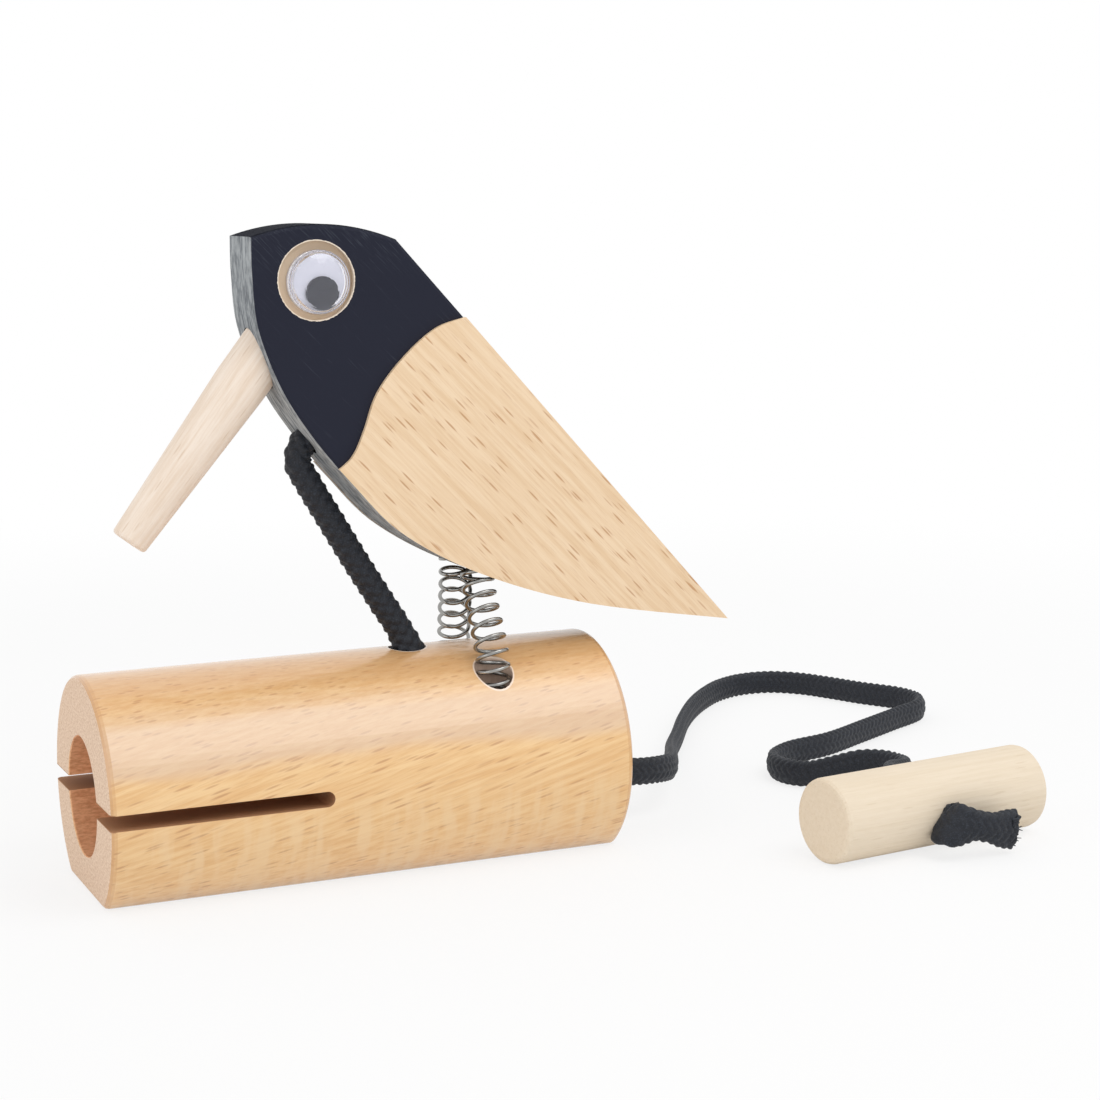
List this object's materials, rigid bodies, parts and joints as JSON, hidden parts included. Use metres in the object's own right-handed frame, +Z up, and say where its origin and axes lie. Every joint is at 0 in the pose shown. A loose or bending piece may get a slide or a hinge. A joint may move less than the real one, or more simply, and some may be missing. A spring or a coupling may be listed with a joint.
{
  "type": "woodpecker knocker",
  "caption": "Wooden woodpecker bird call: a flat bird on springs nods at the pull of a cord and raps its dowel beak on a bored and slit tone block.",
  "frame": {"origin": "middle of the tone block's flat sole", "axes": "+X along the block towards its rear end, where the cord comes out; +Y to the bird's right side; +Z up. The bird looks along -X"},
  "size_m": [0.1948, 0.138, 0.1087],
  "materials": {
    "block_beech": "satin",
    "black_paint": "satin",
    "wing_beech": "satin",
    "pale_dowel": "satin",
    "eye_white": "gloss",
    "pupil_black": "gloss",
    "eye_clear": "polished",
    "spring_steel": "gloss",
    "black_cord": "matte"
  },
  "bodies": {
    "block": {"tone_block": "block_beech", "duct_cord": "black_cord", "spring_left": "spring_steel", "spring_right": "spring_steel"},
    "bird": {"bird_body": "black_paint", "beak": "pale_dowel", "wing_left": "wing_beech", "wing_right": "wing_beech", "eye_cup_left": "eye_white", "eye_cup_right": "eye_white", "eye_dome_left": "eye_clear", "eye_dome_right": "eye_clear", "chest_cord": "black_cord"},
    "left_pupil": {"pupil_left": "pupil_black"},
    "right_pupil": {"pupil_right": "pupil_black"},
    "pull": {"pull_cord": "black_cord", "cord_tail": "black_cord", "toggle": "pale_dowel"}
  },
  "joints": [
    {"name": "bird_nod", "type": "hinge", "parent": "block", "child": "bird", "pos_m": [0.023, 0, 0.041], "axis": [0, -1, 0], "range_deg": [-6, 19.2], "stiffness_Nm_per_rad": 0.25, "springref_deg": -0.25, "deforming": ["spring_left", "spring_right", "chest_cord"]},
    {"name": "left_pupil_roll", "type": "hinge", "parent": "bird", "child": "left_pupil", "pos_m": [-0.00445, -0.00605, 0.09926], "axis": [0, 1, 0], "continuous": true},
    {"name": "right_pupil_roll", "type": "hinge", "parent": "bird", "child": "right_pupil", "pos_m": [-0.00445, 0.00605, 0.09926], "axis": [0, 1, 0], "continuous": true},
    {"name": "cord_pull", "type": "slide", "parent": "block", "child": "pull", "axis": [1, 0, 0], "range_m": [-0.0013, 0.004]}
  ],
  "couplings": [
    {"joint": "cord_pull", "follows": "bird_nod", "m_per_rad": 0.0118}
  ]
}
